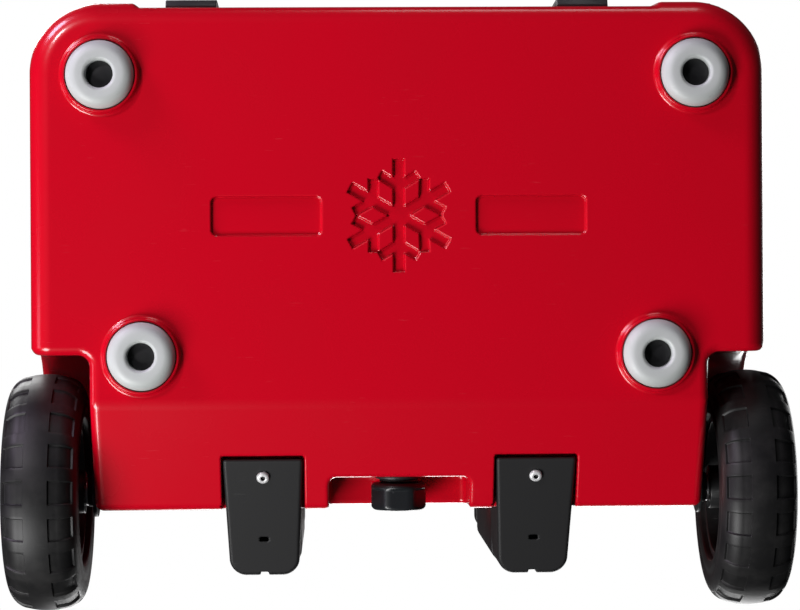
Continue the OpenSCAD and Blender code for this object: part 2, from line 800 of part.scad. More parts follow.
// Spring clips on the front of the chest that the hooks snap under
module keepers() {
    z = keeper_z;
    color([0.08, 0.08, 0.09]) translate([0, base_front, base_z]) rotate([front_lean, 0, 0])
    for (s = [-1, 1]) translate([s * latch_x, 0, 0]) difference() {
        union() {
            block([-20, -3.3, z], [20, -0.3, z + 28]);
            block([-20, -8.5, z], [20, -2, z + 5]);
        }
        for (x = [-13, 13]) translate([x, 0, z + 18]) rod_y(screw_r + 0.2, -4, 1);
    }
}

body_shell();
foam_block([-foam_split[0], -300, 0], [foam_split[0], foam_split[1], rim_z]);  // foam_front
foam_block([-foam_split[0], foam_split[2], 0], [foam_split[0], 300, rim_z]);  // foam_back
foam_block([-400, -300, 0], [-foam_split[0], 300, rim_z]);  // foam_left
foam_block([foam_split[0], -300, 0], [400, 300, rim_z]);  // foam_right
foam_block([-foam_split[0], foam_split[1], 0], [foam_split[0], foam_split[2], rim_z]);  // foam_floor
lid_shell();
lid_foam();
lid_gasket();
foot(feet[0]);  // foot_front_left
foot(feet[1]);  // foot_front_right
foot(feet[2]);  // foot_rear_left
foot(feet[3]);  // foot_rear_right
foot_screws();
lower_bracket(-1);  // lower_bracket_left
lower_bracket(1);  // lower_bracket_right
rail_cover(-1);  // rail_cover_left
rail_cover(1);  // rail_cover_right
upper_bracket(-1);  // upper_bracket_left
upper_bracket(1);  // upper_bracket_right
chest_screws();
outer_tube(-1);  // outer_tube_left
outer_tube(1);  // outer_tube_right
mid_tube(-1);  // mid_tube_left
mid_tube(1);  // mid_tube_right
mid_collars();
inner_tube(-1);  // inner_tube_left
inner_tube(1);  // inner_tube_right
lock_plugs();
handle_bar();
handle_sleeves();
release_button();
release_yoke();
release_rods();
button_spring();
axle(-1);  // axle_left
axle(1);  // axle_right
axle_plates();
axle_washers();
tyre(-1);  // tyre_left
tyre(1);  // tyre_right
rim(-1);  // rim_left
rim(1);  // rim_right
hub_cap(-1);  // hub_cap_left
hub_cap(1);  // hub_cap_right
drain_bushing();
drain_washer();
drain_plug();
hinge_body_leaf(-1);  // hinge_body_leaf_left
hinge_body_leaf(1);  // hinge_body_leaf_right
hinge_lid_leaf(-1);  // hinge_lid_leaf_left
hinge_lid_leaf(1);  // hinge_lid_leaf_right
hinge_pins();
latch_base(-1);  // latch_base_left
latch_base(1);  // latch_base_right
latch_lever(-1);  // latch_lever_left
latch_lever(1);  // latch_lever_right
latch_pins();
lid_screws();
keepers();
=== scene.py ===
import math
import bmesh
import bpy
import numpy as np
from mathutils import Matrix, Vector


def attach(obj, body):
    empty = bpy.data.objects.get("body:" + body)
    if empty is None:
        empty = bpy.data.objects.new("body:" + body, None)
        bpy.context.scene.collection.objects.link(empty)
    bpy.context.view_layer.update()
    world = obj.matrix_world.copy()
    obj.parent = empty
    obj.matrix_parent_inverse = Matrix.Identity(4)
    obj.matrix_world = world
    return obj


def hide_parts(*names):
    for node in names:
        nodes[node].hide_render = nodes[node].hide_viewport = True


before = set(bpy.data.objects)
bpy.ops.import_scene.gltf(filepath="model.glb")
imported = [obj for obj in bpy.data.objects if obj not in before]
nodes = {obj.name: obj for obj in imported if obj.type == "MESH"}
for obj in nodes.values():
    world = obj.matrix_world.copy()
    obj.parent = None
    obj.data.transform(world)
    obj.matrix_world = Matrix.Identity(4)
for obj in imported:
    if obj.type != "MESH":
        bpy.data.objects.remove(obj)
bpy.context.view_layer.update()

# ---------------------------------------------------------------- body of the chest
# The chest is one red polyethylene moulding, cast in a turning oven mould, with a flat base that
# slopes up at the back. It has wells for the wheels, notches for the handle brackets, a drain
# pocket, hand pockets, and a snow crystal between two bars sunk into the base. Sizes are in mm.

base_z, rim_z = 14.0, 432.0
half_width = (281.0, 300.0)            # at the base and at the rim
front_face = (-212.0, -237.0)
back_face = 178.0
slope_start, slope = 94.5, math.radians(26.2)
axle_y, axle_z = 165.3, 94.0
well_side, well_radius = 236.4, 109.0
rail_x = 105.5


def ruler(*marks):
    """Grid lines from pairs of a start and a step, up to the last mark."""
    lines = [np.arange(a, b - 0.01, step) for (a, step), (b, _) in zip(marks, marks[1:])]
    return np.append(np.concatenate(lines), marks[-1][0]).astype(np.float32)


def meet(a, b, r):
    """Where two solids overlap, with the edge between them rounded to r."""
    return np.minimum(np.maximum(a, b), -r) + np.hypot(np.maximum(a + r, 0), np.maximum(b + r, 0))


def cut(solid, cutter, r):
    """A solid with a cutter taken out of it, with the lip rounded to r."""
    return meet(solid, -cutter, r)


def plan(x, y, half, front, back, front_r, back_r):
    """Distance to an upright tray shape with its own corner radius in front and behind."""
    middle = (front + back) / 2
    r = np.where(y < middle, front_r, back_r)
    u, v = np.abs(x) - half + r, np.abs(y - middle) - (back - front) / 2 + r
    return np.minimum(np.maximum(u, v), 0) + np.hypot(np.maximum(u, 0), np.maximum(v, 0)) - r


def stroke(x, y, x0, y0, x1, y1, half):
    """Distance to a flat bar from one point to another."""
    length = math.hypot(x1 - x0, y1 - y0)
    ux, uy = (x1 - x0) / length, (y1 - y0) / length
    along = (x - x0) * ux + (y - y0) * uy
    across = np.abs((y - y0) * ux - (x - x0) * uy)
    return np.maximum(across - half, np.abs(along - length / 2) - length / 2)


def emblem(x, y):
    """A snow crystal of six arms with side twigs, between two plain bars."""
    y = y + 49
    shape = meet(np.abs(np.abs(x) - 101) - 42, np.abs(y) - 15, 5)
    crystal = np.full(np.broadcast(x, y).shape, 99.0, np.float32)
    for i in range(6):
        a = math.radians(60 * i + 30)
        c, s = math.cos(a), math.sin(a)
        crystal = np.minimum(crystal, stroke(x, y, 0, 0, 43 * c, 43 * s, 4.2))
        for side in (-1, 1):
            b = a + side * math.radians(58)
            crystal = np.minimum(crystal, stroke(
                x, y, 22 * c, 22 * s, 22 * c + 17 * math.cos(b), 22 * s + 17 * math.sin(b), 3.6))
    return np.minimum(shape, crystal)


def chest(x, y, z):
    """Distance to the skin of the chest, in mm: below zero inside the moulding."""
    up = (z - base_z) / (rim_z - base_z)
    half = half_width[0] + (half_width[1] - half_width[0]) * up
    front = front_face[0] + (front_face[1] - front_face[0]) * up
    side = np.abs(x)
    sunk = (z - base_z) * math.cos(slope) - (y - slope_start) * math.sin(slope)
    under = meet(base_z - z, -sunk, 2)
    # shallow panel down the front
    edge = 16 - 11 * np.clip((y - 60) / 60, 0, 1)
    skin = meet(plan(x, y, half, front, back_face, 54, 36), under, edge)
    panel = meet(meet(side - 200, z - 343, 20), y - front - 3.5, 3)
    skin = cut(skin, panel, 3)
    skin = meet(skin, z - rim_z, 5)
    # wheel wells
    arch = np.hypot(y - axle_y, z - axle_z) - well_radius
    well = np.where(z < axle_z, axle_y - well_radius - y, arch)
    skin = cut(skin, meet(well, well_side - side, 9), 7)
    # bracket notches and drain pocket
    notch = meet(meet(np.abs(side - rail_x) - 32, 135 - y, 2), sunk - 14, 2)
    skin = cut(skin, notch, 1.4)
    pocket = meet(meet(side - 54.5, 152.5 - y, 6), z - 104, 6)
    skin = cut(skin, pocket, 3)
    # hand pocket behind the handle, and a lifting grip in each side
    hand = meet(meet(side - 72, 156 - y, 10), np.abs(z - 385) - 35, 12)
    skin = cut(skin, hand, 5)
    grip = meet(meet(276 - side, np.abs(y + 30) - 70, 10), np.abs(z - 371) - 33, 10)
    skin = cut(skin, grip, 5)
    # the sunk emblem
    skin = cut(skin, np.maximum(emblem(x, y), z - base_z - 3), 1.0)
    # the inside
    rise = (z - 62) / (rim_z - 62)
    room = plan(x, y, 215 + 21 * rise, -160 - 24 * rise, 118 + 12 * rise, 30, 30)
    skin = cut(skin, meet(room, 62 - z, 14), 6)
    bore = np.maximum(np.hypot(x, z - 77) - 12.6, np.abs(y - 130) - 30)
    return cut(skin, bore, 1.5)


def slope_of(depth, p, h=0.15):
    """Which way a distance grows fastest, at each point."""
    rise = [depth(*(p + h * e).T) - depth(*(p - h * e).T) for e in np.eye(3)]
    return np.stack(rise, 1) / (2 * h)


def part(name, mesh):
    """A new piece of the scene, made from a mesh."""
    piece = bpy.data.objects.new(name, mesh)
    bpy.context.scene.collection.objects.link(piece)
    return piece


def cast(name, depth, xs, ys, zs, triangles):
    """A closed mesh on the skin of a solid, thinned to a number of triangles and shaded smooth."""
    field = np.concatenate([depth(xs[i:i + 12, None, None], ys[None, :, None], zs[None, None, :])
                            for i in range(0, len(xs), 12)])
    inside = field < 0
    count = sum(inside[i:i - 1 or None, j:j - 1 or None, k:k - 1 or None].astype(np.uint8)
                for i in (0, 1) for j in (0, 1) for k in (0, 1))
    crossed = (count > 0) & (count < 8)
    number = np.full(crossed.shape, -1, np.int32)
    cells = np.nonzero(crossed)
    number[cells] = np.arange(len(cells[0]))
    lines = (xs, ys, zs)
    low = np.stack([line[c] for line, c in zip(lines, cells)], 1).astype(float)
    high = np.stack([line[c + 1] for line, c in zip(lines, cells)], 1).astype(float)
    points = (low + high) / 2
    for _ in range(4):
        g = slope_of(depth, points)
        step = (depth(*points.T) / np.maximum((g * g).sum(1), 0.2))[:, None] * g
        points = np.clip(points - step, low, high)
    faces = []
    for axis in range(3):
        a, n = np.moveaxis(inside, axis, 0), np.moveaxis(number, axis, 0)
        for here, there, turn in ((a[:-1], ~a[1:], 1), (~a[:-1], a[1:], -1)):
            p, q, r = np.nonzero((here & there)[:, 1:-1, 1:-1])
            ring = np.stack([n[p, q, r], n[p, q + 1, r], n[p, q + 1, r + 1], n[p, q, r + 1]], 1)
            faces.append(ring[:, ::turn if axis != 1 else -turn])
    faces = np.concatenate(faces)
    mesh = bpy.data.meshes.new(name)
    mesh.vertices.add(len(points))
    mesh.vertices.foreach_set("co", (points / 1000).ravel())
    mesh.loops.add(faces.size)
    mesh.loops.foreach_set("vertex_index", faces.ravel())
    mesh.polygons.add(len(faces))
    mesh.polygons.foreach_set("loop_start", np.arange(0, faces.size, 4))
    mesh.update(calc_edges=True)
    piece = part(name, mesh)
    thin = piece.modifiers.new("thin", "DECIMATE")
    thin.ratio = min(1.0, triangles / (2 * len(faces)))
    graph = bpy.context.evaluated_depsgraph_get()
    done = bpy.data.meshes.new_from_object(piece.evaluated_get(graph))
    piece.modifiers.clear()
    piece.data = done
    co = np.empty(len(done.vertices) * 3)
    done.vertices.foreach_get("co", co)
    normal = slope_of(depth, co.reshape(-1, 3) * 1000, 0.3)
    normal /= np.maximum(np.linalg.norm(normal, axis=1), 1e-6)[:, None]
    done.polygons.foreach_set("use_smooth", np.ones(len(done.polygons), bool))
    done.normals_split_custom_set_from_vertices(normal)
    return piece


coarse = 1.0
body_lines = (
    ruler((-304, 2.5 * coarse), (-150, 1.25 * coarse), (150, 2.5 * coarse), (304, 0)),
    ruler((-244, 2.5 * coarse), (-96, 1.25 * coarse), (-2, 2.5 * coarse), (184, 0)),
    ruler((10, 1.2 * coarse), (22, 2.5 * coarse), (70, 4 * coarse), (210, 9),
          (330, 3 * coarse), (438, 0)))
chest_body = cast("chest_body", chest, *body_lines, triangles=180000)


def effect(name, inputs, outputs):
    """An empty node group with named sockets: its tree, what it is given and what it gives."""
    tree = bpy.data.node_groups.new(name, "ShaderNodeTree")
    for label, kind, value in inputs:
        socket = tree.interface.new_socket(label, in_out="INPUT", socket_type="NodeSocket" + kind)
        socket.default_value = value
    for label, kind in outputs:
        tree.interface.new_socket(label, in_out="OUTPUT", socket_type="NodeSocket" + kind)
    return tree, tree.nodes.new("NodeGroupInput").outputs, tree.nodes.new("NodeGroupOutput").inputs


def add(tree, kind, feeds, **settings):
    """A node with its settings, each socket fed by another socket or given a plain value."""
    node = tree.nodes.new("ShaderNode" + kind)
    for key, value in settings.items():
        setattr(node, key, value)
    for key, value in feeds.items():
        if isinstance(value, bpy.types.NodeSocket):
            tree.links.new(value, node.inputs[key])
        else:
            node.inputs[key].default_value = value
    return node


# The skin of a moulded plastic: a slight cloudiness in its colour and gloss, a fine grain that
# the mould leaves, and thin rubbed scratches. Grain is its size in metres.
moulded_skin, given, gives = effect(
    "moulded skin",
    [("Colour", "Color", (0.5, 0.5, 0.5, 1)), ("Shade", "Color", (0.4, 0.4, 0.4, 1)),
     ("Rubbed", "Color", (0.6, 0.6, 0.6, 1)), ("Roughness", "Float", 0.4),
     ("Grain", "Float", 0.002), ("Scratches", "Float", 0.3)],
    [("Colour", "Color"), ("Roughness", "Float"), ("Height", "Float")])
place = add(moulded_skin, "TexCoord", {}).outputs["Object"]
cloud = add(moulded_skin, "TexNoise", {"Vector": place, "Scale": 11.0, "Detail": 4.0})
tone = add(moulded_skin, "MapRange", {0: cloud.outputs[0], 1: 0.2, 2: 0.8})
base = add(moulded_skin, "Mix", {0: tone.outputs[0], 6: given["Colour"], 7: given["Shade"]},
           data_type="RGBA")
stretched = add(moulded_skin, "Mapping", {"Vector": place, "Scale": (60.0, 900.0, 320.0),
                                          "Rotation": (0.3, 0.5, 0.7)})
lines = add(moulded_skin, "TexNoise", {"Vector": stretched.outputs[0], "Scale": 1.0, "Detail": 2.0})
patch = add(moulded_skin, "TexNoise", {"Vector": place, "Scale": 26.0, "Detail": 1.0})
thin = add(moulded_skin, "MapRange", {0: lines.outputs[0], 1: 0.69, 2: 0.76})
where = add(moulded_skin, "MapRange", {0: patch.outputs[0], 1: 0.56, 2: 0.66})
marks = add(moulded_skin, "Math", {0: thin.outputs[0], 1: where.outputs[0]}, operation="MULTIPLY")
marks = add(moulded_skin, "Math", {0: marks.outputs[0], 1: given["Scratches"]},
            operation="MULTIPLY")
worn = add(moulded_skin, "Mix", {0: marks.outputs[0], 6: base.outputs[2], 7: given["Rubbed"]},
           data_type="RGBA")
moulded_skin.links.new(worn.outputs[2], gives["Colour"])
gloss = add(moulded_skin, "MapRange", {0: cloud.outputs[0], 1: 0.1, 2: 0.9, 3: -0.04, 4: 0.04})
gloss = add(moulded_skin, "Math", {0: gloss.outputs[0], 1: given["Roughness"]}, operation="ADD")
gloss = add(moulded_skin, "Math", {0: marks.outputs[0], 1: 0.3, 2: gloss.outputs[0]},
            operation="MULTIPLY_ADD")
moulded_skin.links.new(gloss.outputs[0], gives["Roughness"])
often = add(moulded_skin, "Math", {0: 1.0, 1: given["Grain"]}, operation="DIVIDE")
grain = add(moulded_skin, "TexNoise", {"Vector": place, "Scale": often.outputs[0], "Detail": 2.0})
cuts = add(moulded_skin, "Math", {0: marks.outputs[0], 1: -0.8, 2: grain.outputs[0]},
           operation="MULTIPLY_ADD")
moulded_skin.links.new(cuts.outputs[0], gives["Height"])


def plastic(name, colour, shade, rubbed, rough, grain, depth, scratches, coat=0.0):
    """A moulded plastic: its colours, roughness, grain size and depth in metres, and scratches."""
    material = bpy.data.materials.new(name)
    material.use_nodes = True
    tree = material.node_tree
    shader = tree.nodes["Principled BSDF"]
    skin = add(tree, "Group", {}, node_tree=moulded_skin)
    for label, value in (("Colour", (*colour, 1)), ("Shade", (*shade, 1)), ("Rubbed", (*rubbed, 1)),
                         ("Roughness", rough), ("Grain", grain), ("Scratches", scratches)):
        skin.inputs[label].default_value = value
    tree.links.new(skin.outputs["Colour"], shader.inputs["Base Color"])
    tree.links.new(skin.outputs["Roughness"], shader.inputs["Roughness"])
    bump = add(tree, "Bump", {"Strength": 0.6, "Distance": depth, "Height": skin.outputs["Height"]})
    tree.links.new(bump.outputs[0], shader.inputs["Normal"])
    shader.inputs["Coat Weight"].default_value = coat
    shader.inputs["Coat Roughness"].default_value = 0.12
    return material


def paint(piece, material):
    """Gives a piece one material on all its faces."""
    piece.data.materials.clear()
    piece.data.materials.append(material)
    return piece


red = plastic("red_polyethylene", (0.555, 0.0001, 0.0115), (0.52, 0.0001, 0.0100),
              (0.64, 0.06, 0.08), 0.27, 0.0021, 0.00006, 0.2, 0.5)
shader = red.node_tree.nodes["Principled BSDF"]
shader.inputs["Specular IOR Level"].default_value = 0.3
paint(chest_body, red)
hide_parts("body_shell")
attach(chest_body, "chest")


# ---------------------------------------------------------------- foam
# Stiff cream foam is poured between the skins of the chest and of the lid through round ports in
# the back, and cures as one block in each. It is hidden once the parts are closed.

foam = plastic("cream_foam", (0.80, 0.70, 0.45), (0.68, 0.57, 0.33), (0.85, 0.78, 0.6),
               0.85, 0.0009, 0.0004, 0.0)
for name in ("foam_front", "foam_back", "foam_left", "foam_right", "foam_floor", "lid_foam"):
    paint(nodes[name], foam)


# ---------------------------------------------------------------- feet
# Four ring-shaped feet of grey rubber sit in raised round seats under the chest. A dark screw,
# sunk deep in the middle of each foot, holds it.


def woven(rings, n):
    """Four-sided faces between the neighbouring points of closed rings of n points each."""
    faces = []
    for i in range(rings):
        here, there = i * n, (i + 1) % rings * n
        faces += [(here + j, there + j, there + (j + 1) % n, here + (j + 1) % n) for j in range(n)]
    return faces


def spin(name, profile, centre, axis="Z", turns=96):
    """A round part from its closed outline, given as radius and distance along its axis in mm."""
    angles = np.linspace(0, 2 * math.pi, turns, endpoint=False)
    r, t = np.array(profile, float).T
    rings = np.stack([r[None] * np.cos(angles)[:, None], r[None] * np.sin(angles)[:, None],
                      np.broadcast_to(t, (turns, len(t)))], 2)
    order = {"Z": (0, 1, 2), "X": (2, 0, 1), "Y": (1, 2, 0)}[axis]
    points = (rings[..., order].reshape(-1, 3) + np.array(centre)) / 1000
    mesh = bpy.data.meshes.new(name)
    mesh.from_pydata([tuple(p) for p in points], [], woven(turns, len(profile)))
    piece = part(name, mesh)
    smooth(piece)
    return piece


def smooth(piece, angle=40):
    """Shades a piece smooth, but keeps edges sharper than an angle, and turns its faces outward."""
    grid = bmesh.new()
    grid.from_mesh(piece.data)
    bmesh.ops.recalc_face_normals(grid, faces=grid.faces[:])
    for face in grid.faces:
        face.smooth = True
    for edge in grid.edges:
        edge.smooth = len(edge.link_faces) == 2 and edge.calc_face_angle(0) < math.radians(angle)
    grid.to_mesh(piece.data)
    grid.free()


def bend(cx, ct, r, start, end, n=6):
    """Points of a rounded corner about a centre, from one angle to another in degrees."""
    return [(cx + r * math.cos(math.radians(a)), ct + r * math.sin(math.radians(a)))
            for a in np.linspace(start, end, n)]


feet = {"foot_front_left": (-226.5, -156.8), "foot_front_right": (226.5, -156.8),
        "foot_rear_left": (-196.3, 57.3), "foot_rear_right": (196.3, 57.3)}
foot_rubber = plastic("grey_foot_rubber", (0.50, 0.525, 0.51), (0.44, 0.465, 0.455),
                      (0.66, 0.69, 0.68), 0.46, 0.0012, 0.00006, 0.3)
# outer wall, broad soft shoulder, flat ring on the ground, rolled inner lip, hole
foot_outline = ([(25.9, 13.9), (26.0, 12.0)] + bend(17.0, 9.0, 9.0, 0, -90, 14)
                + bend(13.4, 2.9, 2.9, -90, -180, 8)
                + [(10.5, 8.0), (10.5, 11.0), (3.2, 11.0), (3.2, 13.9)])
# raised seat that the chest's skin forms round the foot, flowing into the base
seat_outline = (bend(32.4, 10.9, 3.2, 90, 165, 8) + [(28.9, 9.6)] + bend(27.9, 8.9, 0.9, 0, -90, 5)
                + bend(27.3, 8.5, 0.5, -90, -180, 4) + [(26.7, 10.0), (26.6, 14.6), (32.4, 14.6)])
for name, (x, y) in feet.items():
    ring = spin(name.replace("foot", "seat"), seat_outline, (x, y, 0))
    paint(ring, red)
    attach(ring, "chest")
    pad = spin(name.replace("foot", "rubber_foot"), foot_outline, (x, y, 0))
    paint(pad, foot_rubber)
    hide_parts(name)
    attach(pad, "chest")

dark_steel = plastic("blackened_steel", (0.012, 0.012, 0.013), (0.008, 0.008, 0.009),
                     (0.08, 0.08, 0.085), 0.42, 0.0007, 0.00003, 0.4)
paint(nodes["foot_screws"], dark_steel)


def ease(piece, width, angle=32):
    """Rounds the edges of a part by a width in metres, and shades it smooth between them."""
    join = piece.modifiers.new("join", "WELD")
    join.merge_threshold = 0.00002
    round_off = piece.modifiers.new("round", "BEVEL")
    round_off.width = width
    round_off.segments = 3
    round_off.limit_method = "ANGLE"
    round_off.angle_limit = math.radians(angle)
    round_off.use_clamp_overlap = True
    round_off.harden_normals = True
    piece.data.polygons.foreach_set("use_smooth", [True] * len(piece.data.polygons))
    return piece


ease(nodes["foot_screws"], 0.0004)


# ---------------------------------------------------------------- lower handle brackets
# Two brackets of charcoal glass-filled nylon lie in notches in the sloping base and turn up the
# back as boots for the handle's rails. One button-head screw holds each, and water drips out
# through a slot.


bracket_front, bracket_back = 137.5, 231.5
bracket_half, bracket_taper = 31, 3.5 / 80.5
tongue_thickness = 12.5
boot_top, boot_front = 150, 178.4
drip_slot_y = 201.8


def bracket(x, y, z):
    """Distance to a lower bracket, with x measured from its own middle."""
    side = np.abs(x) - bracket_half + (y - bracket_front) * bracket_taper
    shape = meet(meet(side, y - bracket_back, 13), bracket_front - y, 2.5)
    line = base_z + 1 + (y - slope_start) * math.tan(slope)
    tongue = z - line - tongue_thickness
    boot = meet(z - boot_top, boot_front - y, 2)
    shape = meet(shape, (line - z) * math.cos(slope), 2.6)
    shape = meet(shape, np.minimum(tongue, boot), 1)
    slot = meet(meet(np.abs(x) - 3.4, np.abs(y - drip_slot_y) - 1.8, 1), z - line - 9, 1)
    shape = cut(shape, slot, 0.6)
    drip = meet(np.abs(x) - 3.2, 228.8 - y, 1)
    return cut(shape, drip, 1)


charcoal = plastic("charcoal_nylon", (0.0135, 0.0135, 0.014), (0.0115, 0.0115, 0.012),
                   (0.08, 0.08, 0.08), 0.5, 0.0011, 0.00009, 0.45)
shader = charcoal.node_tree.nodes["Principled BSDF"]
shader.inputs["Specular IOR Level"].default_value = 0.3
bracket_lines = (ruler((-35, 1.1 * coarse), (35, 0)), ruler((134, 1.1 * coarse), (235, 0)),
                 ruler((30, 1.1 * coarse), (90, 4 * coarse), (153, 0)))
bracket_left = cast("bracket_left", bracket, *bracket_lines, triangles=22000)
bracket_right = part("bracket_right", bracket_left.data.copy())
for piece, x in ((bracket_left, -rail_x), (bracket_right, rail_x)):
    for corner in piece.data.vertices:
        corner.co.x += x / 1000
    paint(piece, charcoal)
    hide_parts(piece.name.replace("bracket", "lower_bracket"))
    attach(piece, "chest")

stainless = plastic("stainless_steel", (0.80, 0.80, 0.80), (0.70, 0.70, 0.71), (0.9, 0.9, 0.9),
                    0.36, 0.0005, 0.00001, 0.6)
stainless.node_tree.nodes["Principled BSDF"].inputs["Metallic"].default_value = 0.35


# Painted shade: a near-black second material for the inside of each screw's hex socket, standing in
# for the shadow in the recess, not dirt.
socket_shade_paint = plastic("socket_painted_shade", (0.030, 0.030, 0.031), (0.018, 0.018, 0.019), (0.10, 0.10, 0.10),
                0.6, 0.0005, 0.00002, 0.3)


def button_screws(name, places, length=12.5):
    """Domed screws with a hexagon socket whose wall and floor are painted near-black as painted
    shade; each place is the seat and the way the screw points.
    """
    profile = ([(1.9, -0.5), (1.9, -2.35)] + bend(2.4, -1.95, 0.45, 180, 262, 3)
               + [(3.4, -2.32), (4.2, -1.95), (4.75, -1.3), (4.97, -0.5), (5.0, 0.0)]
               + [(2.0, 0.0), (2.0, length)])
    rings, turns = len(profile), 36
    points, faces = [], []
    for seat, way in places:
        turn = Vector(way).to_track_quat("Z", "Y").to_matrix()
        first = len(points)
        for i in range(turns):
            a = 2 * math.pi * i / turns
            for k, (r, t) in enumerate(profile):
                if k < 2:
                    r = 1.75 / math.cos((a % (math.pi / 3)) - math.pi / 6)
                spot = Vector((r * math.cos(a), r * math.sin(a), t))
                points.append((Vector(seat) + turn @ spot) / 1000)
        for i in range(turns):
            here, there = first + i * rings, first + (i + 1) % turns * rings
            faces += [(here + k, here + k + 1, there + k + 1, there + k) for k in range(rings - 1)]
        for k in (0, rings - 1):
            faces.append([first + i * rings + k for i in range(turns)])
    mesh = bpy.data.meshes.new(name)
    mesh.from_pydata(points, [], faces)
    piece = part(name, mesh)
    smooth(piece, 35)
    paint(piece, stainless)
    piece.data.materials.append(socket_shade_paint)
    # The socket's wall and floor faces take the second material, the painted shade.
    per_screw = turns * (rings - 1) + 2
    for face in piece.data.polygons:
        k = face.index % per_screw
        if k % (rings - 1) == 0 and k < per_screw - 2 or k == per_screw - 2:
            face.material_index = 1
    return piece


lean = math.atan2(front_face[0] - front_face[1], rim_z - base_z)
up_slope = (0, -math.sin(slope), math.cos(slope))
into_front = (0, math.cos(lean), math.sin(lean))
into_back = (0, -1, 0)
plate_y = back_face + 5.4               # outer face of the plates on the back wall
hinge_x, latch_x = 190, 177
out, along = 3.5, 399                   # keeper screws: out from the front wall, and up along it
keeper_y = front_face[0] - out * math.cos(lean) - along * math.sin(lean)
keeper_z = base_z + along * math.cos(lean) - out * math.sin(lean)
head_z = base_z + 0.2 + 57.3 * math.tan(slope)
chest_places = [((s * rail_x, 151.8, head_z), up_slope) for s in (-1, 1)]
for s in (-1, 1):
    for e in (-1, 1):
        chest_places += [((s * hinge_x + e * 14, plate_y, 398), into_back),
                         ((s * rail_x + e * 28, plate_y, 361), into_back),
                         ((s * latch_x + e * 13, keeper_y, keeper_z), into_front)]
heads = button_screws("chest_button_screws", chest_places)
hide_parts("chest_screws")
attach(heads, "chest")
lid_places = []
for s in (-1, 1):
    for e in (-1, 1):
        lid_places += [((s * hinge_x + e * 14, plate_y, 468), into_back),
                       ((s * latch_x + e * 19, -239.5, 477), (0, 1, 0))]
heads = button_screws("lid_button_screws", lid_places)
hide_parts("lid_screws")
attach(heads, "lid")


# ---------------------------------------------------------------- telescoping rails
# Each rail is three anodised aluminium tubes, one in another, drawn with a satin lengthwise
# finish. Moulded covers hide the fixed tubes, brackets clamp their tops, and nylon collars guide
# the moving ones.

drawn_metal, given, gives = effect(
    "drawn metal", [("Colour", "Color", (0.2, 0.2, 0.2, 1)), ("Light", "Color", (0.3, 0.3, 0.3, 1)),
                    ("Roughness", "Float", 0.3)],
    [("Colour", "Color"), ("Roughness", "Float"), ("Height", "Float")])
place = add(drawn_metal, "TexCoord", {}).outputs["Object"]
long_way = add(drawn_metal, "Mapping", {"Vector": place, "Scale": (1600.0, 1600.0, 9.0)})
streaks = add(drawn_metal, "TexNoise", {"Vector": long_way.outputs[0], "Scale": 1.0, "Detail": 2.0})
shine = add(drawn_metal, "Mix", {0: streaks.outputs[0], 6: given["Colour"], 7: given["Light"]},
            data_type="RGBA")
drawn_metal.links.new(shine.outputs[2], gives["Colour"])
even = add(drawn_metal, "Math", {0: streaks.outputs[0], 1: 0.16, 2: given["Roughness"]},
           operation="MULTIPLY_ADD")
drawn_metal.links.new(even.outputs[0], gives["Roughness"])
drawn_metal.links.new(streaks.outputs[0], gives["Height"])


def metal(name, colour, light, rough):
    """A drawn metal with its darker and lighter streak colours."""
    material = bpy.data.materials.new(name)
    material.use_nodes = True
    tree = material.node_tree
    shader = tree.nodes["Principled BSDF"]
    drawn = add(tree, "Group", {}, node_tree=drawn_metal)
    for label, value in (("Colour", (*colour, 1)), ("Light", (*light, 1)), ("Roughness", rough)):
        drawn.inputs[label].default_value = value
    tree.links.new(drawn.outputs["Colour"], shader.inputs["Base Color"])
    tree.links.new(drawn.outputs["Roughness"], shader.inputs["Roughness"])
    bump = add(tree, "Bump", {"Strength": 0.4, "Distance": 0.00001,
                              "Height": drawn.outputs["Height"]})
    tree.links.new(bump.outputs[0], shader.inputs["Normal"])
    shader.inputs["Metallic"].default_value = 1.0
    return material


dark_tube = metal("dark_anodised_aluminium", (0.075, 0.077, 0.08), (0.13, 0.133, 0.138), 0.26)
for stage in ("outer", "mid", "inner"):
    for side in ("left", "right"):
        ease(paint(nodes[f"{stage}_tube_{side}"], dark_tube), 0.0003)
black = plastic("black_nylon", (0.017, 0.017, 0.018), (0.013, 0.013, 0.014),
                (0.08, 0.08, 0.08), 0.45, 0.0011, 0.00008, 0.4)
for side in ("left", "right"):
    ease(paint(nodes["rail_cover_" + side], black), 0.0018)
    ease(paint(nodes["upper_bracket_" + side], black), 0.0012)
ease(paint(nodes["mid_collars"], black), 0.0006)
white_nylon = plastic("natural_nylon", (0.62, 0.60, 0.52), (0.55, 0.52, 0.44), (0.75, 0.73, 0.66),
                      0.5, 0.0009, 0.00004, 0.3)
ease(paint(nodes["lock_plugs"], white_nylon), 0.0003)


# ---------------------------------------------------------------- cross bar of the handle
# A black nylon grip bar joins the inner tubes through an elbow at each end. It has two ribbed
# rubber sleeves, with the release button between them. A steel yoke, two rods and a spring work
# the release.


grip_y, grip_z = 189.2, 398
core_radius, neck_radius = 9, 10.1


def cross_bar(x, y, z):
    """Distance to the cross bar and its two elbows."""
    side = np.abs(x)
    axis = np.hypot(y - grip_y, z - grip_z)
    core = meet(axis - core_radius, side - 90, 1)
    elbow = plan(side - rail_x, y, 28.5, 186, 223, 12, 12)
    elbow = meet(meet(elbow, 376.8 - z, 2), z - 406, 7)
    neck = meet(axis - neck_radius, side - 86, 1)
    joined = -meet(-elbow, -np.maximum(neck, 77 - side), 3)
    shape = np.minimum(joined, core)
    slot = meet(side - 14.5, np.abs(y - grip_y) - 5.5, 1)
    return cut(shape, np.maximum(slot, 394.5 - z), 0.5)


grip_lines = (ruler((-137, 1.2 * coarse), (137, 0)), ruler((177, 1.1 * coarse), (226, 0)),
              ruler((374, 1.1 * coarse), (412, 0)))
handle_grip = cast("handle_grip", cross_bar, *grip_lines, triangles=40000)
paint(handle_grip, black)
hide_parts("handle_bar")
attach(handle_grip, "handle_top")

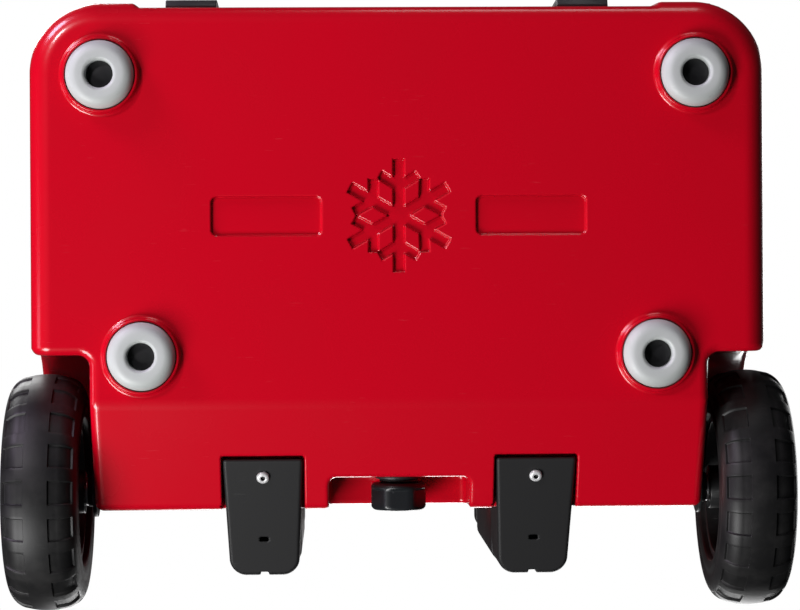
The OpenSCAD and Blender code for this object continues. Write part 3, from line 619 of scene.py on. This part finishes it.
grip_rubber = plastic("grip_rubber", (0.012, 0.012, 0.0125), (0.009, 0.009, 0.0095),
                      (0.05, 0.05, 0.05), 0.62, 0.0008, 0.0001, 0.2)
ribbed = [(9.2, 16.0)] + bend(9.6, 16.8, 0.8, 180, 360, 7)
for i in range(14):
    t = 18.6 + i * 4.2
    ribbed += [(10.4, t), (10.4, t + 2.4), (9.9, t + 2.8), (9.9, t + 3.8)]
ribbed += bend(9.6, 75.2, 0.8, 0, 90, 4) + [(9.2, 76.0)]
sleeve = spin("handle_sleeve_pair", ribbed, (0, grip_y, grip_z), axis="X", turns=48)
other = sleeve.data.copy()
other.transform(Matrix.Scale(-1, 4, (1, 0, 0)))
other.flip_normals()
both = bmesh.new()
both.from_mesh(sleeve.data)
both.from_mesh(other)
both.to_mesh(sleeve.data)
both.free()
paint(sleeve, grip_rubber)
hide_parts("handle_sleeves")
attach(sleeve, "handle_top")

mid_grey = plastic("grey_plastic", (0.15, 0.155, 0.16), (0.12, 0.125, 0.13), (0.28, 0.28, 0.29),
                   0.42, 0.0010, 0.00006, 0.4)
ease(paint(nodes["release_button"], mid_grey), 0.0016)
zinc_steel = metal("zinc_plated_steel", (0.52, 0.52, 0.53), (0.64, 0.64, 0.65), 0.28)
for name in ("release_yoke", "release_rods", "button_spring"):
    ease(paint(nodes[name], zinc_steel), 0.0003)


# ---------------------------------------------------------------- axles and wheels
# Each wheel is a solid rubber tyre with two rows of sunk tread pockets, on a black spoked nylon
# centre. It runs on a stub axle of bright steel between washers, behind a flange plate, and a
# snap-in cap closes the hub.

for side in ("left", "right"):
    ease(paint(nodes["axle_" + side], zinc_steel), 0.0006)
ease(paint(nodes["axle_plates"], black), 0.0007)
ease(paint(nodes["axle_washers"], zinc_steel), 0.0003)
wheel_black = plastic("wheel_nylon", (0.016, 0.016, 0.0165), (0.011, 0.011, 0.0115),
                      (0.11, 0.11, 0.11), 0.38, 0.0012, 0.00006, 0.6)
for side in ("left", "right"):
    ease(paint(nodes["rim_" + side], wheel_black), 0.0016)
    ease(paint(nodes["hub_cap_" + side], mid_grey), 0.0012)

# Fine dust on rubber: it greys the colour in soft patches and takes the gloss off.
dusty, given, gives = effect(
    "dust", [("Colour", "Color", (0.02, 0.02, 0.02, 1)), ("Dust", "Color", (0.2, 0.19, 0.18, 1)),
             ("Roughness", "Float", 0.5), ("Amount", "Float", 0.3)],
    [("Colour", "Color"), ("Roughness", "Float")])
place = add(dusty, "TexCoord", {}).outputs["Object"]
drift = add(dusty, "TexNoise", {"Vector": place, "Scale": 38.0, "Detail": 5.0, "Roughness": 0.65})
settled = add(dusty, "MapRange", {0: drift.outputs[0], 1: 0.42, 2: 0.72})
share = add(dusty, "Math", {0: settled.outputs[0], 1: given["Amount"]}, operation="MULTIPLY")
greyed = add(dusty, "Mix", {0: share.outputs[0], 6: given["Colour"], 7: given["Dust"]},
             data_type="RGBA")
dusty.links.new(greyed.outputs[2], gives["Colour"])
dull = add(dusty, "Math", {0: share.outputs[0], 1: 0.5, 2: given["Roughness"]},
           operation="MULTIPLY_ADD")
dusty.links.new(dull.outputs[0], gives["Roughness"])

tyre_rubber = plastic("tyre_rubber", (0.0078, 0.0076, 0.0079), (0.006, 0.006, 0.0062),
                      (0.07, 0.07, 0.07), 0.46, 0.0010, 0.00008, 0.5)
tree = tyre_rubber.node_tree
skin = next(n for n in tree.nodes if n.type == "GROUP")
dust = add(tree, "Group", {}, node_tree=dusty)
dust.inputs["Amount"].default_value = 0.09
dust.inputs["Dust"].default_value = (0.13, 0.125, 0.12, 1)
tree.links.new(skin.outputs["Colour"], dust.inputs["Colour"])
tree.links.new(skin.outputs["Roughness"], dust.inputs["Roughness"])
shader = tree.nodes["Principled BSDF"]
shader.inputs["Specular IOR Level"].default_value = 0.32
tree.links.new(dust.outputs["Colour"], shader.inputs["Base Color"])
tree.links.new(dust.outputs["Roughness"], shader.inputs["Roughness"])


def ramp(a):
    """A soft step from 0 to 1."""
    a = np.clip(a, 0, 1)
    return a * a * (3 - 2 * a)


wheel_mid = 275.65                      # from the middle of the chest to the middle of a tyre
tread_radius = 93
pockets, pitch = 20, 18.0               # round one shoulder, and degrees from one to the next
pocket_depth = 1.7
turned = 3.4                            # how far the wheels happen to be turned, in degrees


def tyre(name, side):
    """A tyre on one side of the chest: its outline turned round the axle, with sunk pockets."""
    crown = (13.0, 11.6, 11.1, 10.8, 10.4, 10.0, 9.3, 8.7, 8.4, 8.0, 7.6, 5.0, 2.5)
    half = ([(26.9, 58.0), (28.3, 58.8), (29.0, 61.0), (29.25, 64.0), (29.25, 66.0), (28.7, 67.4),
             (28.7, 71.0), (29.25, 72.4)] + bend(12.25, 74.5, 17.0, 4, 83, 34)
            + [(x, tread_radius - 1.6 * (x / 14.3) ** 2) for x in crown])
    across = np.array(half + [(0.0, tread_radius)] + [(-x, r) for x, r in reversed(half)])
    x, r = across.T
    out = np.gradient(across, axis=0)
    out = np.stack([-out[:, 1], out[:, 0]], 1)
    out *= -1 / np.linalg.norm(out, axis=1)[:, None]
    shoulder = np.where(x > 0, ramp((x - 10.4) / 0.7), ramp((-x - 8.0) / 0.7))
    edge = shoulder * ramp((r - 83.5) / 1.0)
    within = np.array([-9.0, -7.2, -6.1, -5.8, -5.5, -5.2, -4.7, -2.5,
                       0, 2.5, 4.7, 5.2, 5.5, 5.8, 6.1, 7.2])
    angles = (within[None] + pitch * np.arange(pockets)[:, None]).ravel()
    deep = np.tile(ramp((5.9 - np.abs(within)) / 0.6), pockets)
    sunk = deep[:, None] * edge[None] * pocket_depth
    wx = x[None] - sunk * out[None, :, 0]
    wr = r[None] - sunk * out[None, :, 1]
    a = np.radians(angles - turned)[:, None]
    points = np.stack([side * (wheel_mid + wx), axle_y + wr * np.cos(a),
                       axle_z + wr * np.sin(a)], 2)
    mesh = bpy.data.meshes.new(name)
    mesh.from_pydata([tuple(p) for p in points.reshape(-1, 3) / 1000], [], woven(*sunk.shape))
    piece = part(name, mesh)
    smooth(piece, 34)
    return piece


for side, sign in (("left", -1), ("right", 1)):
    piece = tyre("rubber_tyre_" + side, sign)
    paint(piece, tyre_rubber)
    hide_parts("tyre_" + side)
    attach(piece, "wheel_" + side)


# ---------------------------------------------------------------- drain
# A flanged nylon bushing lines the drain hole at the back. A blue-black knob with six finger
# flats screws into it and presses a rubber washer against its flange.

drain_z = 77.0
ease(paint(nodes["drain_bushing"], black), 0.0006)


def knob(x, y, z):
    """Distance to the drain knob and its stem."""
    z = z - drain_z
    drum = meet(np.hypot(x, z) - 21.5, np.abs(y - 169.15) - 10.85, 4)
    flats = np.full(np.broadcast(x, y, z).shape, -99.0, np.float32)
    for i in range(6):
        a = math.radians(60 * i)
        flats = np.maximum(flats, x * math.sin(a) + z * math.cos(a) - 19.4)
    drum = cut(drum, meet(-flats, 163.2 - y, 1.5), 1.2)
    drum = cut(drum, np.maximum(np.hypot(x, z) - 12, 178.4 - y), 1.2)
    stem = np.maximum(np.hypot(x, z) - 9.4, np.abs(y - 144) - 18)
    return np.minimum(drum, stem)


knob_black = plastic("blue_black_plastic", (0.011, 0.0125, 0.0145), (0.008, 0.0095, 0.011),
                     (0.09, 0.09, 0.10), 0.33, 0.0010, 0.00005, 0.4)
knob_lines = (ruler((-23, 0.9 * coarse), (23.5, 0)), ruler((124, 0.9 * coarse), (182, 0)),
              ruler((54, 0.9 * coarse), (100, 0)))
drain_knob = cast("drain_knob", knob, *knob_lines, triangles=24000)
paint(drain_knob, knob_black)
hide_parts("drain_plug")
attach(drain_knob, "drain_cap")

seal_rubber = plastic("seal_rubber", (0.028, 0.028, 0.029), (0.022, 0.022, 0.023),
                      (0.07, 0.07, 0.07), 0.6, 0.0008, 0.00005, 0.0)
ease(paint(nodes["drain_washer"], seal_rubber), 0.0005)


# ---------------------------------------------------------------- hinges
# Each hinge is two leaves of black nylon, screwed to the back of the chest and of the lid, on a
# stainless steel pin.

for name in ("hinge_body_leaf", "hinge_lid_leaf"):
    for side in ("left", "right"):
        ease(paint(nodes[f"{name}_{side}"], black), 0.0011)
ease(paint(nodes["hinge_pins"], zinc_steel), 0.0006)


# ---------------------------------------------------------------- lid
# The lid is a second red moulding, filled with foam, with a soft raised border round its top. A
# step on its underside closes the mouth of the chest, inside a rubber seal in a groove.


def lid(x, y, z):
    """Distance to the skin of the lid."""
    up = (z - 434) / 78
    slab = plan(x, y, 302.4 - 2.8 * up, -239.8 + up, back_face, 54, 36)
    slab = meet(meet(slab, 434 - z, 3), z - 511.9, 15)
    field = plan(x, y, 262, -200, 138, 30, 24)
    slab = cut(slab, meet(field, 508.6 - z, 3), 4)
    rails = plan(np.abs(x) - 131, y, 105, -176, 114, 20, 20)
    slab = np.minimum(slab, meet(rails, z - 510.6, 2.4) + np.where(z < 500, 99.0, 0.0))
    step = meet(plan(x, y, 232, -180, 126, 26, 26), 424 - z, 3)
    slab = np.minimum(slab, np.maximum(step, z - 450))
    ring = np.abs(plan(x, y, 243, -191, 137, 37, 37)) - 5
    slab = cut(slab, meet(ring, z - 438.5, 0.6), 0.8)
    seat = meet(meet(np.abs(np.abs(x) - latch_x) - 30, y + 235, 2), z - 486, 4)
    return cut(slab, seat, 1.5)


lid_lines = (ruler((-305, 2.6 * coarse), (305, 0)), ruler((-243, 2.6 * coarse), (182, 0)),
             ruler((421, 1.6 * coarse), (442, 4), (484, 1.6 * coarse), (515, 0)))
lid_body = cast("lid_body", lid, *lid_lines, triangles=120000)
paint(lid_body, red)
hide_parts("lid_shell")
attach(lid_body, "lid")
ease(paint(nodes["lid_gasket"], seal_rubber), 0.001)


# ---------------------------------------------------------------- latches
# Two black levers swing on pins between the ears of plates on the lid. Each has a hook that snaps
# under a spring keeper on the front of the chest.

latch_black = plastic("latch_plastic", (0.019, 0.019, 0.020), (0.015, 0.015, 0.016),
                      (0.09, 0.09, 0.09), 0.42, 0.0012, 0.0001, 0.4)
for side in ("left", "right"):
    ease(paint(nodes["latch_base_" + side], latch_black), 0.0012)
    ease(paint(nodes["latch_lever_" + side], latch_black), 0.0016)
ease(paint(nodes["latch_pins"], zinc_steel), 0.0005)
ease(paint(nodes["keepers"], latch_black), 0.0008)


# ---------------------------------------------------------------- studio
# A pale floor that can be seen from above only, soft lamps, and a camera straight below the chest.

scene = bpy.context.scene
scene.view_settings.view_transform = "Standard"
world = bpy.data.worlds.new("studio")
scene.world = world
world.use_nodes = True
tree = world.node_tree
seen = tree.nodes["Background"]
seen.inputs[0].default_value = (1, 1, 1, 1)
seen.inputs[1].default_value = 1.0
room = add(tree, "Background", {"Color": (0.8, 0.85, 0.9, 1), "Strength": 0.03})
ray = add(tree, "LightPath", {})
choose = add(tree, "MixShader", {0: ray.outputs["Is Camera Ray"], 1: room.outputs[0],
                                 2: seen.outputs[0]})
tree.links.new(choose.outputs[0], tree.nodes["World Output"].inputs["Surface"])

floor_mesh = bpy.data.meshes.new("floor")
floor_mesh.from_pydata([(-6, -6, 0), (6, -6, 0), (6, 6, 0), (-6, 6, 0)], [], [(0, 1, 2, 3)])
floor = part("floor", floor_mesh)
floor_paint = bpy.data.materials.new("pale_floor")
floor_paint.use_nodes = True
tree = floor_paint.node_tree
shader = tree.nodes["Principled BSDF"]
shader.inputs["Roughness"].default_value = 0.6
shader.inputs["Emission Color"].default_value = (1, 1, 1, 1)
shader.inputs["Emission Strength"].default_value = 0.25
speckle = add(tree, "TexNoise", {"Scale": 3.0, "Detail": 3.0})
pale = add(tree, "Mix", {0: speckle.outputs[0], 6: (0.80, 0.80, 0.79, 1), 7: (0.84, 0.84, 0.83, 1)},
           data_type="RGBA")
tree.links.new(pale.outputs[2], shader.inputs["Base Color"])
side_of = add(tree, "NewGeometry", {})
clear = add(tree, "BsdfTransparent", {})
one_way = add(tree, "MixShader", {0: side_of.outputs["Backfacing"], 1: shader.outputs[0],
                                  2: clear.outputs[0]})
tree.links.new(one_way.outputs[0], tree.nodes["Material Output"].inputs["Surface"])
floor_mesh.materials.append(floor_paint)
floor.visible_diffuse = floor.visible_glossy = floor.visible_shadow = False


def lamp(name, where, aim, size, power, tint=(1, 1, 1)):
    """A square soft lamp at a place, turned towards a point, both in metres."""
    light = bpy.data.lights.new(name, "AREA")
    light.size, light.energy, light.color = size, power, tint
    holder = bpy.data.objects.new(name, light)
    holder.location = where
    holder.rotation_euler = (Vector(aim) - Vector(where)).to_track_quat("-Z", "Y").to_euler()
    scene.collection.objects.link(holder)
    return holder


lamp("key_below", (-1.4, -1.3, -1.9), (0, 0, 0.05), 0.36, 24, (1.0, 0.94, 1.0))
lamp("fill_below", (-1.5, 1.5, -1.45), (0, 0, 0.05), 1.2, 75)
lamp("corner_strip", (-1.7, -1.7, -0.5), (0, 0, 0.2), 0.7, 34, (0.9, 0.75, 1.0))
lamp("side_left", (-2.0, 0.3, -0.4), (0, 0, 0.2), 0.6, 3, (0.9, 0.8, 1.0))
lamp("front_strip", (0.3, -2.1, -0.4), (0, 0, 0.2), 0.6, 4)
lamp("key_above", (-1.3, -1.6, 2.5), (0, 0, 0.25), 1.4, 50)
lamp("fill_above", (1.7, 0.0, 2.3), (0, 0, 0.25), 1.4, 24)
lamp("back_above", (0.3, 1.7, 2.6), (0, 0, 0.25), 1.4, 34)

camera_data = bpy.data.cameras.new("camera")
camera_data.lens, camera_data.sensor_width = 116, 36
camera = bpy.data.objects.new("camera", camera_data)
camera.location = (-0.051, 0.019, -1.95)
camera.rotation_euler = (math.pi, math.radians(1.5), math.radians(0.35))
scene.collection.objects.link(camera)
scene.camera = camera
